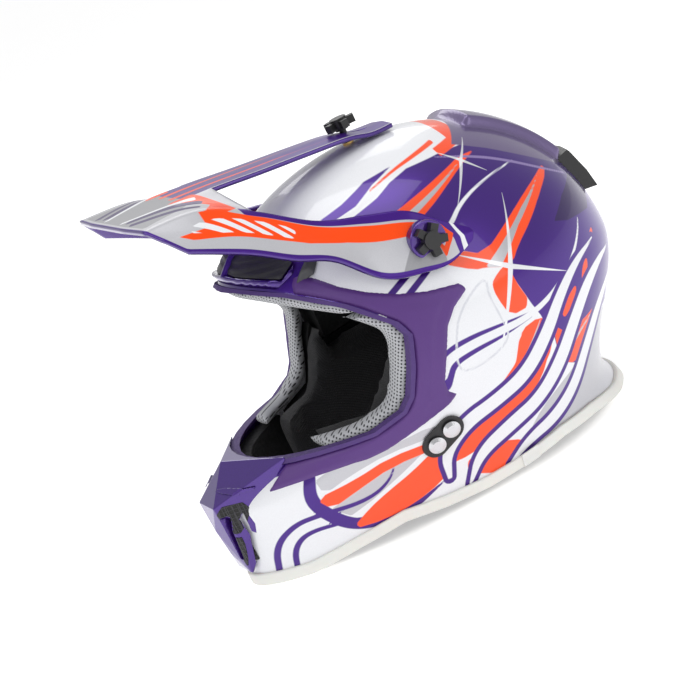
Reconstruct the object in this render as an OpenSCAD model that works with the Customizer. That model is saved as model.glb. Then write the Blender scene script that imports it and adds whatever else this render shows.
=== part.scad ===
// Off-road motorcycle helmet with an adjustable peak, standing on its bottom rim.
// +X is the wearer's left, -Y the face, +Z up. Millimetres.

/* [Shell] */
// Half of the shell's greatest width
half_width = 121; // [116:1:126]
// Height of the crown above the widest level
crown_height = 129; // [124:1:134]
// Wall of the outer shell
shell_wall = 3.5; // [3:0.5:4]
// Thickness of the shock-absorbing liner
liner_wall = 30; // [26:1:32]

/* [Peak] */
// Thickness of the peak's moulding
peak_wall = 3; // [2.5:0.5:3.5]
// Radius of the thumbscrews' stars
knob_r = 11; // [10:0.5:12]
// Height of the thumbscrews' stars
knob_h = 7; // [6:0.5:8]

/* [Chin strap] */
// Width of the webbing
strap_w = 24; // [22:1:26]
// Thickness of the webbing
strap_t = 2; // [1.8:0.1:2.4]
// Wire radius of the D-rings
ring_wire = 1.8; // [1.6:0.1:2]

/* [Hidden] */
$fn = 48;

// The shapes below are measured from under the ears; this moves them to the middle of the whole box.
frame_y = -6.09;

// Levels and centre of the shell's horizontal sections
eq_z = 108;
crown_y = 30;
front_a = 154;
rear_a = 146;
crown_e = 0.95;
chin_out = 38;
side_in = 30;
rear_in = 44;
rear_flare = 10;
around = 48;
low_n = 8;
up_n = 12;
far = 200;
fit = 0.3;

// ---------- the shell's surface ----------
// A horizontal section is half a superellipse to the front and half an ellipse to the rear.
function smooth(t) = let (c = min(max(t, 0), 1)) c * c * (3 - 2 * c);
function spow(v, e) = sign(v) * pow(abs(v), e);
function crown(z, off) = pow(max(1 - pow((z - eq_z) / (crown_height + off), 2), 0), crown_e / 2);
function half_w(z, off) = z > eq_z
    ? (half_width + off) * crown(z, off)
    : half_width + off - side_in * pow((eq_z - z) / eq_z, 1.6);
function fore(z, off) = z > eq_z
    ? (front_a + off) * crown(z, off)
    : front_a + off + chin_out * smooth((95 - z) / 40);
function aft(z, off) = z > eq_z
    ? (rear_a + off) * crown(z, off)
    : rear_a + off - rear_in * smooth((110 - z) / 90) + rear_flare * smooth((22 - z) / 22);
function nose_n(z) = 2 - 0.25 * smooth((95 - z) / 40);
function skin(u, z, off) =
    let (n = cos(u) > 0 ? nose_n(z) : 2)
    let (a = cos(u) > 0 ? fore(z, off) : aft(z, off))
    [half_w(z, off) * spow(sin(u), 2 / n), crown_y - a * spow(cos(u), 2 / n), z];
function levels(off, z0) = [
    if (z0 < 0) z0,
    for (i = [0:low_n - 1]) eq_z * i / low_n,
    for (i = [0:up_n - 1]) eq_z + (crown_height + off) * sin(90 * i / up_n),
];

// Everything inside the shell's surface moved out by off, from the table or from a level z0 below it
module inside(off, z0 = 0) {
    rows = levels(off, z0);
    m = len(rows);
    points = [
        for (z = rows) for (k = [0:around - 1]) skin(360 * k / around, z, off),
        [0, crown_y, eq_z + crown_height + off],
        [0, crown_y, z0],
    ];
    faces = [
        for (i = [0:m - 2]) for (k = [0:around - 1])
            let (a = i * around + k, b = i * around + (k + 1) % around)
            each [[a, a + around, b], [b, a + around, b + around]],
        for (k = [0:around - 1]) [(m - 1) * around + k, m * around, (m - 1) * around + (k + 1) % around],
        for (k = [0:around - 1]) [k, (k + 1) % around, m * around + 1],
    ];
    polyhedron(points, faces, convexity = 8);
}

// A layer of the shell's form between two offsets
module layer(out, in) {
    difference() {
        inside(out);
        inside(in, -3);
    }
}

// A prism across the helmet whose outline is in side view, as [y, z]
module side_prism(outline, x0 = -far, x1 = far) {
    translate([x0, 0, 0]) rotate([90, 0, 90]) linear_extrude(x1 - x0) polygon(outline);
}

// ---------- outlines in side view, as [y, z] ----------
port = [
    [-far, 76], [-123, 80], [-94, 79], [-68, 78], [-46, 84], [-38, 92], [-29, 112],
    [-22, 131], [-26, 142], [-47, 165], [-72, 184], [-90, 193.5], [-far, 200],
];
trim_edge = [
    [-far, 58], [-138, 66], [-99, 67], [-71, 64], [-46, 69], [-9, 78], [-18, 87],
    [-8, 108], [4, 130], [31, 143], [-10, 153], [-40, 171], [-56, 190], [-64, 190], [-70, 176], [-far, 150],
];
// Lower edge of the rim: down on the table at the chin and the nape, arched between them
rim = [[-far, -1], [-132, 0], [-98, 6], [-69, 10], [-40, 6], [-10, 4], [20, 5], [52, 8], [85, 6], [118, 0], [far, -1]];
function raised(line, h) = [for (p = line) [p[0], p[1] + h]];
function flipped(line) = [for (i = [len(line) - 1:-1:0]) line[i]];
function band(line, h0, h1) = concat(raised(line, h0), flipped(raised(line, h1)));
module above(line, h) {
    side_prism(concat(raised(line, h), [[far, 400], [-far, 400]]));
}
module below(line, h) {
    side_prism(concat(raised(line, h), [[far, -50], [-far, -50]]));
}

// ---------- shell and its trims ----------
shell_in = -shell_wall;
rim_h = 9;
rim_sole = 2.5;
module shell_hole_tools(r) {
    translate([0, knob_y, 220]) cylinder(r = r, h = 40);
    for (s = [-1, 1]) translate([s * 80, pivot_y, pivot_z]) rotate([0, s * 90, 0]) cylinder(r = r, h = 60);
}
module outer_shell() {
    color("white") difference() {
        union() {
            intersection() {
                layer(0, shell_in);
                above(rim, rim_sole);
            }
            intersection() {
                layer(7, -1);
                side_prism([[104, 185], [106, 240], [150, 220], [200, 171], [140, 158]], -32, 32);
            }
        }
        side_prism(port);
        shell_hole_tools(nut_r + 0.1);
    }
}
module eyeport_trim() {
    color("rebeccapurple") intersection() {
        layer(1.6, 0);
        difference() {
            side_prism(trim_edge);
            side_prism(port);
            // gap that the chin vent's cover fills
            translate([0, -90, 0]) rotate([90, 0, 0]) linear_extrude(100)
                polygon([[-57, 92], [-40, 62], [-32, 50], [32, 50], [40, 62], [57, 92]]);
        }
        translate([-far, -far, 0]) cube([2 * far, far + 40, 400]);
    }
}
module eyeport_gasket() {
    color("indigo") intersection() {
        layer(2.6, -5);
        translate([-far, 0, 0]) rotate([90, 0, 90]) linear_extrude(2 * far) difference() {
            offset(delta = -0.2) polygon(port);
            offset(delta = -3) polygon(port);
        }
        translate([-far, -190, 0]) cube([2 * far, 190, 400]);
    }
}
module rim_trim() {
    color("ivory") difference() {
        intersection() {
            layer(2.4, shell_in - 2.4);
            side_prism(band(rim, 0, rim_h));
            translate([-far, -far, 0]) cube([2 * far, 2 * far, 60]);
        }
        intersection() {
            layer(0, shell_in);
            above(rim, rim_sole);
        }
    }
}
module rim_joiners() {
    color("ivory") intersection() {
        layer(3.8, 2.4);
        side_prism(band(rim, 0.5, rim_h + 1));
        translate([-far, 16, 0]) cube([2 * far, 13, 60]);
    }
}

// ---------- chin vent ----------
vent_top = 87;
module chin_vent_form(grow = 0) {
    hull() {
        for (s = [-1, 1]) {
            translate([s * (50 + grow), -119, vent_top - 4]) sphere(r = 1.5, $fn = 8);
            translate([s * (34 + grow), -141, 64]) sphere(r = 1.5, $fn = 8);
            translate([s * (20 + grow), -161, 36]) sphere(r = 1.5, $fn = 8);
            translate([s * 14, -168 - grow, 66]) sphere(r = 1.5, $fn = 8);
            translate([s * 12, -164, 14]) sphere(r = 1.5, $fn = 8);
        }
        translate([0, -146, vent_top]) sphere(r = 1.5, $fn = 8);
        translate([0, -170 - grow, 48]) sphere(r = 1.5, $fn = 8);
        translate([0, -167.5 - grow, 28]) sphere(r = 1.5, $fn = 8);
    }
}
module vent_windows(grow = 0) {
    for (s = [-1, 1]) hull() {
        translate([s * 17, -200, 56 + grow]) rotate([-90, 0, 0]) cylinder(r = 3 + grow, h = 60, $fn = 24);
        translate([s * 12, -200, 26 - grow]) rotate([-90, 0, 0]) cylinder(r = 2 + grow, h = 60, $fn = 24);
    }
}
module chin_vent_cover() {
    color("indigo") difference() {
        chin_vent_form();
        inside(fit, -3);
        vent_windows();
        // clear of the gasket's lip
        intersection() {
            inside(3.2);
            side_prism(port);
        }
        // pocket for the mesh, open to the shell
        intersection() {
            translate([-26, -220, 19]) cube([52, 120, 60]);
            inside(3.2);
        }
    }
}
module chin_vent_mesh() {
    color("dimgray") intersection() {
        layer(2.4, fit);
        translate([-24, -170, 20]) cube([48, 60, 58]);
        side_prism([[-far, 10], [-100, 10], [-100, 78], [-far, 74]]);
    }
}
module chin_bar_liner() {
    color("black") intersection() {
        layer(shell_in - fit, -18);
        side_prism([[-far, 14], [-98, 19], [-76, 22], [-76, 74], [-94, 75], [-123, 76], [-far, 72]]);
    }
}

// ---------- brow and rear vents ----------
brow_edge = [[-far, 206], [-91, 195.5], [-73, 186.5], [-60, 192], [-46, 212], [-60, 221], [-far, 221]];
louvre_edge = [[-82, 197], [-67, 190.5], [-56, 197], [-54, 209], [-64, 213], [-82, 206]];
module brow_vent_cover() {
    color("indigo") difference() {
        intersection() {
            layer(6, 1.9);
            side_prism(brow_edge, -66, 66);
        }
        side_prism(louvre_edge);
    }
}
module brow_vent_louvres() {
    color("black") intersection() {
        layer(5, 2);
        translate([-far, 0, 0]) rotate([90, 0, 90]) linear_extrude(2 * far) offset(delta = -0.3) polygon(louvre_edge);
        translate([-66, -far, 0]) cube([132, far, 400]);
    }
}
module brow_vent_winglets() {
    color("dimgray") intersection() {
        layer(6.5, 2);
        union() for (s = [-1, 1]) {
            side_prism([[-71, 186], [-59, 191], [-43, 211], [-36, 205], [-52, 189]], s > 0 ? 66.5 : -86, s > 0 ? 86 : -66.5);
        }
    }
}
module rear_vents() {
    color("black") intersection() {
        layer(10, fit);
        union() for (s = [-1, 1]) {
            side_prism([[146, 158.8], [200, 170.4], [200, 140], [186, 129], [158, 134]], s > 0 ? 6 : -31, s > 0 ? 31 : -6);
        }
    }
}

// ---------- liners and pads ----------
eps_out = shell_in - 0.5;
eps_in = eps_out - liner_wall;
eps_edge = [[-far, 212], [-90, 198.5], [-74, 190], [-44, 168], [-22, 144], [-16, 128], [-16, 104], [34, 104], [38, 52], [far, 44], [far, 300], [-far, 300]];
module eps_liner() {
    color("dimgray") difference() {
        intersection() {
            layer(eps_out, eps_in);
            side_prism(eps_edge);
        }
        shell_hole_tools(9);
    }
}
module crown_pad() {
    color("black") intersection() {
        layer(eps_in - fit, eps_in - 9);
        side_prism([[-74, 190], [-40, 172], [-10, 146], [36, 116], [60, 96], [far, 84], [far, 300], [-far, 300], [-far, 203]]);
    }
}
roll_out = -5.4;
roll_in = -25;
module roll_band() {
    intersection() {
        layer(roll_out, roll_in);
        translate([-far, 0, 0]) rotate([90, 0, 90]) linear_extrude(2 * far) difference() {
            offset(delta = 1.6) polygon(port);
            offset(delta = -8) polygon(port);
        }
    }
}
module brow_roll() {
    color("silver") intersection() {
        roll_band();
        side_prism([[-150, 160], [-35, 155], [-22, 165], [-60, 220], [-150, 220]]);
    }
}
module cheek_roll(s) {
    color("silver") intersection() {
        roll_band();
        side_prism([[-96, 60], [0, 60], [0, 159], [-45, 153.5], [-96, 100]], s > 0 ? 0 : -far, s > 0 ? far : 0);
    }
}
core_out = -14.5;
module cheek_core(s) {
    color("black") intersection() {
        layer(core_out, -27);
        side_prism([[-70, 32], [26, 28], [30, 101], [-19, 101], [-21, 118], [-28, 108], [-34, 92], [-42, 79], [-70, 74]],
            s > 0 ? 0 : -far, s > 0 ? far : 0);
    }
}
module cheek_pad(s) {
    color("black") intersection() {
        layer(-27.3, -50);
        side_prism([[-86, 38], [22, 34], [28, 99], [-20, 101], [-24, 122], [-36, 104], [-52, 84], [-86, 80]],
            s > 0 ? 20 : -far, s > 0 ? far : -20);
    }
}
module neck_roll() {
    color("black") intersection() {
        layer(-6.4, -30);
        side_prism([[44, 14], [118, 10], [far, 10], [far, 42], [44, 48]]);
    }
}
snap_spots = [[-58, 52], [-6, 46], [-4, 84]];
module pad_snaps() {
    color("silver") intersection() {
        layer(shell_in - 0.2, core_out + 0.2);
        union() for (s = [-1, 1]) for (p = snap_spots)
            translate([s > 0 ? 60 : -120, p[0], p[1]]) rotate([0, 90, 0]) cylinder(r = 5, h = 60);
    }
}

// ---------- chin strap ----------
anchor_y = [-36, -24];
anchor_z = [54, 60];
module rivet_outline(r) {
    hull() for (i = [0, 1]) translate([anchor_y[i], anchor_z[i]]) circle(r = r, $fn = 32);
}
module rivet_plates() {
    color("black") intersection() {
        layer(2.2, 0.1);
        difference() {
            translate([-far, 0, 0]) rotate([90, 0, 90]) linear_extrude(2 * far) rivet_outline(9);
            for (s = [-1, 1]) for (i = [0, 1]) on_side(s, anchor_y[i], anchor_z[i], 2.8) {
                translate([0, 0, -9]) cylinder(r = 2.8, h = 14);
                cylinder(r = 6.3, h = 6);
            }
        }
    }
}
// Where the shell's side is, at [y, z] and moved out by off, and which way it faces
function side_x(y, z, off) =
    let (n = nose_n(z))
    half_w(z, off) * pow(1 - pow((crown_y - y) / fore(z, off), n), 1 / n);
function side_normal(y, z) =
    let (dy = side_x(y + 1, z, 0) - side_x(y - 1, z, 0))
    let (dz = side_x(y, z + 1, 0) - side_x(y, z - 1, 0))
    [1, -dy / 2, -dz / 2];
module on_side(s, y, z, off) {
    n = side_normal(y, z);
    scale([s, 1, 1]) translate([side_x(y, z, off), y, z])
        rotate([0, 90 - asin(n[2] / norm(n)), atan2(n[1], n[0])]) children();
}
module strap_rivets() {
    color("silver") for (s = [-1, 1]) for (i = [0, 1]) on_side(s, anchor_y[i], anchor_z[i], 2.8) {
        cylinder(r = 6, h = 1);
        translate([0, 0, 1]) cylinder(r1 = 6, r2 = 3.6, h = 1.4);
        translate([0, 0, -2.4]) cylinder(r = 2.5, h = 2.5);
    }
}
module strap_anchors() {
    // steel plates inside the shell that the webbing hangs from
    color("silver") intersection() {
        layer(shell_in - 0.2, shell_in - 1.8);
        translate([-far, 0, 0]) rotate([90, 0, 90]) linear_extrude(2 * far) rivet_outline(8);
    }
}
// Webbing as a path in front view, [x, z], extruded along y
module webbing(path, w) {
    for (i = [0:len(path) - 2]) hull() for (p = [path[i], path[i + 1]])
        translate([p[0], -30, p[1]]) rotate([90, 0, 0]) cylinder(r = strap_t / 2, h = w, center = true, $fn = 12);
}
strap_y = -30;
ring_x = 30;
ring_z = 17;
ring_gap = 4.2;
ring_half = 15;
ring_arm = 5;
fall = [[93.5, 58], [90, 44], [87, 34], [80, 25], [66, 20]];
function mirrored(path) = [for (p = path) [-p[0], p[1]]];
module strap_left() {
    color("black") union() {
        webbing(concat(fall, [[50, 18.5], [ring_x + 7, 18]]), strap_w);
        // sewn loop round the rings' straight bars
        translate([ring_x, strap_y, ring_z]) rotate([90, 0, 0]) difference() {
            cylinder(r = 6.8, h = strap_w - 2, center = true);
            cylinder(r = 4.7, h = strap_w, center = true);
        }
    }
}
module strap_right() {
    color("black") webbing(concat(mirrored(fall), [[-50, 16], [-28, 13.5], [-4, 12.5], [0, 9.6], [-4, 6.8], [-28, 6.4], [-46, 7.4]]), strap_w);
}
module strap_snap() {
    color("silver") translate([-37, strap_y, 8.2]) cylinder(r = 5, h = 4.8);
}
// A D of wire: a straight bar along the hinge and a bow to the wearer's right
module d_ring(z, tilt) {
    w = ring_wire;
    translate([ring_x, strap_y, z]) rotate([0, tilt, 0]) {
        rotate([90, 0, 0]) cylinder(r = w, h = 2 * ring_half, center = true, $fn = 24);
        translate([-ring_arm, 0, 0]) rotate([0, 0, 90]) rotate_extrude(angle = 180, $fn = 32)
            translate([ring_half, 0]) circle(r = w, $fn = 16);
        for (s = [-1, 1]) translate([0, s * ring_half, 0]) {
            sphere(r = w, $fn = 16);
            rotate([0, -90, 0]) cylinder(r = w, h = ring_arm, $fn = 16);
        }
    }
}
module d_ring_lower() {
    color("silver") d_ring(ring_z - ring_gap / 2, -8);
}
module d_ring_upper() {
    color("silver") d_ring(ring_z + ring_gap / 2, 10);
}

// ---------- peak ----------
pivot_y = 15;
pivot_z = 180;
knob_y = 35;
nut_r = 4;
boss_x = 115;
shank_r = 2.5;
slot_r = 3.1;
// Half of the peak, as stations from the front edge back; each runs from the centre to the outer edge
peak_half = [
    [[0, -144, 268], [36, -144, 268], [74, -141, 267], [84, -134, 258], [94, -125, 246]],
    [[0, -108, 265.5], [34, -108, 265.5], [72, -101, 261.5], [86, -96, 245], [99, -90, 226]],
    [[0, -76, 262], [31, -76, 262], [73, -70, 244], [88, -68, 228], [103, -66, 209]],
    [[0, -38, 257], [29, -38, 256], [83, -38, 220.5], [95, -42, 209], [108, -44, 197]],
    [[0, 0, 252], [27, 0, 250.5], [93, -10, 210], [104, -14, 192], [114, -22, 172]],
    [[0, 28, 247.7], [25, 28, 246], [102, 14, 201], [112, 14, 181], [118, 4, 163]],
    [[0, 46, 241.6], [22, 46, 240.5], [109, 32, 184.5], [115, 30, 173], [119, 22, 160.5]],
    [[0, 64, 239.5], [18, 63, 238.5], [113, 45, 173], [115.5, 45.5, 170], [117, 42, 166]],
];
// Columns run from -4 at the right edge to 4 at the left; a cell lies between j and j + 1, i and i + 1
rows = len(peak_half);
columns = 9;
gap_row = 2;
function peak_point(i, j) = let (p = peak_half[i][abs(j)]) [sign(j) * p[0], p[1], p[2]];
function in_gap(i, j) = i >= gap_row && (j == 1 || j == -2);
function cell(i, j) = i >= 0 && i < rows - 1 && j >= -4 && j <= 3 && !in_gap(i, j);
function peak_normal(i, j) =
    let (row = max(i - 1, 0))
    let (left = cell(row, j - 1) ? j - 1 : j, right = cell(row, j) ? j + 1 : j)
    let (across = peak_point(i, right) - peak_point(i, left))
    let (along = peak_point(min(i + 1, rows - 1), j) - peak_point(max(i - 1, 0), j))
    let (n = cross(across, along))
    n / norm(n);
function corner(i, j) = i * columns + j + 4;
module peak_sheet() {
    grid = [for (i = [0:rows - 1]) for (j = [-4:4]) [i, j]];
    top = [for (g = grid) peak_point(g[0], g[1])];
    under = [for (g = grid) peak_point(g[0], g[1]) - peak_wall * peak_normal(g[0], g[1])];
    m = len(grid);
    cells = [for (g = grid) if (cell(g[0], g[1])) g];
    faces = [
        for (g = cells)
            let (i = g[0], j = g[1])
            let (a = corner(i, j), b = corner(i, j + 1), c = corner(i + 1, j + 1), d = corner(i + 1, j))
            each concat(
                [[a, d, c], [a, c, b], [a + m, c + m, d + m], [a + m, b + m, c + m]],
                cell(i - 1, j) ? [] : [[a, b, b + m], [a, b + m, a + m]],
                cell(i + 1, j) ? [] : [[c, d, d + m], [c, d + m, c + m]],
                cell(i, j - 1) ? [] : [[d, a, a + m], [d, a + m, d + m]],
                cell(i, j + 1) ? [] : [[b, c, c + m], [b, c + m, b + m]]
            ),
    ];
    polyhedron(concat(top, under), faces, convexity = 8);
}
module peak() {
    color("indigo") difference() {
        union() {
            peak_sheet();
            for (s = [-1, 1]) translate([s * 111, pivot_y, pivot_z]) rotate([0, s * 90, 0])
                cylinder(r = 13, h = boss_x - 111);
        }
        // slot that the centre screw slides along
        for (y = [30, 49]) translate([0, y, 225]) cylinder(r = slot_r, h = 40);
        translate([-slot_r, 30, 225]) cube([2 * slot_r, 19, 40]);
        for (s = [-1, 1]) translate([s * 95, pivot_y, pivot_z]) rotate([0, s * 90, 0]) {
            cylinder(r = shank_r + 0.7, h = 40);
            translate([0, 0, boss_x - 95]) cylinder(r = 14, h = 20);
        }
    }
}
module star(r, h) {
    union() {
        cylinder(r = r * 0.55, h = h);
        for (k = [0:4]) rotate([0, 0, 72 * k]) translate([0, -r * 0.24, 0]) cube([r, r * 0.48, h * 0.8]);
    }
}
module knob(shank, collar) {
    color("black") union() {
        star(knob_r, knob_h);
        translate([0, 0, -collar]) cylinder(r = 4.5, h = collar + 1);
        translate([0, 0, -shank]) cylinder(r = shank_r, h = shank + 1);
    }
}
module centre_knob() { translate([0, knob_y, 249.4]) knob(21, 1.8); }
module side_knob(s) { translate([s * (boss_x + fit), pivot_y, pivot_z]) rotate([0, s * 90, 0]) knob(22, 0); }
module nut(l) {
    difference() {
        union() {
            cylinder(r = nut_r, h = l);
            cylinder(r = 7, h = 2);
        }
        translate([0, 0, -1]) cylinder(r = shank_r + 0.06, h = l + 2);
    }
}
module peak_nuts() {
    color("goldenrod") union() {
        translate([0, knob_y, 229]) nut(9.5);
        for (s = [-1, 1]) translate([s * 89.5, pivot_y, pivot_z]) rotate([0, s * 90, 0]) nut(14);
    }
}

// ---------- the row frame ----------
module in_frame() {
    translate([0, frame_y, 0]) children();
}
in_frame() outer_shell();
in_frame() eyeport_trim();
in_frame() eyeport_gasket();
in_frame() rim_trim();
in_frame() rim_joiners();
in_frame() chin_vent_cover();
in_frame() chin_vent_mesh();
in_frame() chin_bar_liner();
in_frame() brow_vent_cover();
in_frame() brow_vent_louvres();
in_frame() brow_vent_winglets();
in_frame() rear_vents();
in_frame() eps_liner();
in_frame() crown_pad();
in_frame() brow_roll();
in_frame() cheek_roll(1);  // cheek_roll_left
in_frame() cheek_roll(-1);  // cheek_roll_right
in_frame() cheek_core(1);  // cheek_core_left
in_frame() cheek_core(-1);  // cheek_core_right
in_frame() cheek_pad(1);  // cheek_pad_left
in_frame() cheek_pad(-1);  // cheek_pad_right
in_frame() neck_roll();
in_frame() pad_snaps();
in_frame() rivet_plates();
in_frame() strap_rivets();
in_frame() strap_anchors();
in_frame() strap_left();
in_frame() strap_right();
in_frame() strap_snap();
in_frame() d_ring_lower();
in_frame() d_ring_upper();
in_frame() peak();
in_frame() peak_nuts();
in_frame() centre_knob();
in_frame() side_knob(1);  // side_knob_left
in_frame() side_knob(-1);  // side_knob_right
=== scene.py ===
"""Off-road helmet on a pale floor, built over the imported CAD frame. Shapes are in millimetres until mesh_object()."""
import math
import bmesh
import bpy
import numpy as np
from mathutils import Matrix, Vector


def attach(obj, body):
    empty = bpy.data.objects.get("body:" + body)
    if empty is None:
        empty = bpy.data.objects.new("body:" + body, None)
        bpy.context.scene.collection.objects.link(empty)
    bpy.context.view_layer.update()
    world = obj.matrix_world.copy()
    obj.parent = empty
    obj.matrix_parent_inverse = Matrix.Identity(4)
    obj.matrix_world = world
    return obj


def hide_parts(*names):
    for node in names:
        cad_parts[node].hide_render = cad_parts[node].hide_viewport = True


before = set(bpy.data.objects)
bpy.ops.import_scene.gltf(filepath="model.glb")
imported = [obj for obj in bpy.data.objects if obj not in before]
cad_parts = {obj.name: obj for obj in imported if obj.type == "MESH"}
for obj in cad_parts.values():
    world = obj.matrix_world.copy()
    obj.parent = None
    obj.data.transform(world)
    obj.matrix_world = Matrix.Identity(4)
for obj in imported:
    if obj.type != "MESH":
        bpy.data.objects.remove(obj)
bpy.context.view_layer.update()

SHIFT_Y = -6.09      # from the helmet's own y origin, under the ears, to the row frame's
EQ_Z, CROWN_Y, HALF_W, CROWN_H = 108, 30, 121, 129
FRONT, REAR = 154, 146


# ---------- small helpers ----------
def smooth(t):
    c = np.clip(t, 0, 1)
    return c * c * (3 - 2 * c)


def point(x, y, z):
    """A place in helmet millimetres, as a row-frame vector in metres."""
    return Vector((x / 1000, (y + SHIFT_Y) / 1000, z / 1000))


def mesh_object(name, verts, faces, body="helmet", raw=False):
    """An object from helmet millimetres, or from row metres if raw, riding on a body."""
    verts = np.array(verts, dtype=float)
    if not raw:
        verts = (verts + [0, SHIFT_Y, 0]) / 1000
    mesh = bpy.data.meshes.new(name)
    mesh.from_pydata(verts.tolist(), [], [list(map(int, f)) for f in faces])
    mesh.validate()
    mesh.update()
    obj = bpy.data.objects.new(name, mesh)
    bpy.context.scene.collection.objects.link(obj)
    mesh.shade_smooth()
    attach(obj, body)
    return obj


def apply_modifiers(obj):
    dg = bpy.context.evaluated_depsgraph_get()
    mesh = bpy.data.meshes.new_from_object(obj.evaluated_get(dg))
    obj.modifiers.clear()
    obj.data = mesh


def set_material(obj, mat):
    obj.data.materials.clear()
    obj.data.materials.append(mat)


def bevel(obj, width, segments=2, angle=35):
    mod = obj.modifiers.new("bevel", "BEVEL")
    mod.width = width / 1000
    mod.segments = segments
    mod.limit_method = "ANGLE"
    mod.angle_limit = math.radians(angle)
    mod.harden_normals = False
    return mod


# ---------- the shell's surface ----------
def crown(z, off):
    return np.maximum(1 - ((z - EQ_Z) / (CROWN_H + off)) ** 2, 0) ** 0.475


def skin(u, z, off):
    """The shell's surface at angle u from the face, level z, moved out by off."""
    low = z <= EQ_Z
    cr = crown(z, off)
    w = np.where(low, HALF_W + off - 30 * (np.clip(EQ_Z - z, 0, None) / EQ_Z) ** 1.6, (HALF_W + off) * cr)
    fore = np.where(low, FRONT + off + 38 * smooth((95 - z) / 40), (FRONT + off) * cr)
    aft = np.where(low, REAR + off - 44 * smooth((110 - z) / 90) + 10 * smooth((22 - z) / 22), (REAR + off) * cr)
    front = np.cos(u) > 0
    n = np.where(front, 2 - 0.25 * smooth((95 - z) / 40), 2.0)
    a = np.where(front, fore, aft)
    x = w * np.sign(np.sin(u)) * np.abs(np.sin(u)) ** (2 / n)
    y = CROWN_Y - a * np.sign(np.cos(u)) * np.abs(np.cos(u)) ** (2 / n)
    return np.stack(np.broadcast_arrays(x, y, z), -1)


def surface(off, around=420, low=56, up=104):
    """A fine closed-top mesh of the shell's surface: vertices and triangles."""
    z_low = np.linspace(0, EQ_Z, low)[:-1]
    z_up = EQ_Z + (CROWN_H + off) * np.sin(np.linspace(0, np.pi / 2, up)[:-1])
    z = np.concatenate([z_low, z_up])
    u = np.linspace(0, 2 * np.pi, around, endpoint=False)
    uu, zz = np.meshgrid(u, z)
    verts = skin(uu, zz, off).reshape(-1, 3)
    verts = np.vstack([verts, [0, CROWN_Y, EQ_Z + CROWN_H + off]])
    rows = len(z)
    i, k = np.meshgrid(np.arange(rows - 1), np.arange(around), indexing="ij")
    a = i * around + k
    b = i * around + (k + 1) % around
    c, d = b + around, a + around
    quads = np.stack([a, b, c, d], -1).reshape(-1, 4)
    tris = np.vstack([quads[:, [0, 1, 2]], quads[:, [0, 2, 3]]])
    ring = (rows - 1) * around + np.arange(around)
    after = (rows - 1) * around + (np.arange(around) + 1) % around
    cap = np.stack([ring, after, np.full(around, len(verts) - 1)], -1)
    return verts, np.vstack([tris, cap])


def vertex_normals(v, t):
    n = np.cross(v[t[:, 1]] - v[t[:, 0]], v[t[:, 2]] - v[t[:, 0]])
    out = np.zeros_like(v)
    for k in range(3):
        for c in range(3):
            out[:, c] += np.bincount(t[:, k], n[:, c], minlength=len(v))
    return out / np.maximum(np.linalg.norm(out, axis=1, keepdims=True), 1e-9)


def clip(v, t, g):
    """Keep the part of a triangle mesh where g, a value per vertex, is above zero."""
    s = g[t] >= 0
    count = s.sum(1)
    kept = [t[count == 3]]
    extra, index = [], {}

    def cut(i, j):
        key = (min(i, j), max(i, j))
        if key not in index:
            f = g[key[0]] / (g[key[0]] - g[key[1]])
            index[key] = len(v) + len(extra)
            extra.append(v[key[0]] + f * (v[key[1]] - v[key[0]]))
        return index[key]

    new = []
    crossed = (count > 0) & (count < 3)
    for tri, flags, n in zip(t[crossed], s[crossed], count[crossed]):
        odd = int(np.argmax(flags)) if n == 1 else int(np.argmin(flags))
        p, q, r = int(tri[odd]), int(tri[(odd + 1) % 3]), int(tri[(odd + 2) % 3])
        pq, pr = cut(p, q), cut(p, r)
        new += [(p, pq, pr)] if n == 1 else [(pq, q, r), (pq, r, pr)]
    kept.append(np.array(new, dtype=int).reshape(-1, 3))
    v = np.vstack([v] + ([np.array(extra)] if extra else []))
    t = np.vstack(kept)
    used, inverse = np.unique(t, return_inverse=True)
    return v[used], inverse.reshape(-1, 3)


# ---------- outlines in side view, as (y, z) ----------
def chaikin(pts, times=2, closed=True):
    pts = np.array(pts, dtype=float)
    for _ in range(times):
        nxt = np.roll(pts, -1, 0) if closed else pts[1:]
        cur = pts if closed else pts[:-1]
        new = np.stack([0.75 * cur + 0.25 * nxt, 0.25 * cur + 0.75 * nxt], 1).reshape(-1, 2)
        pts = new if closed else np.vstack([pts[:1], new, pts[-1:]])
    return pts


def sdf(poly, y, z):
    """Distance to an outline, negative inside it."""
    poly = np.array(poly, dtype=float)
    best = np.full(y.shape, 1e9)
    inside = np.zeros(y.shape, dtype=bool)
    for (ay, az), (by, bz) in zip(poly, np.roll(poly, -1, 0)):
        ey, ez = by - ay, bz - az
        wy, wz = y - ay, z - az
        t = np.clip((wy * ey + wz * ez) / max(ey * ey + ez * ez, 1e-9), 0, 1)
        best = np.minimum(best, (wy - t * ey) ** 2 + (wz - t * ez) ** 2)
        if bz != az:
            crosses = ((az > z) != (bz > z)) & (y < ey * (z - az) / (bz - az) + ay)
            inside ^= crosses
    return np.where(inside, -1, 1) * np.sqrt(best)


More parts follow.
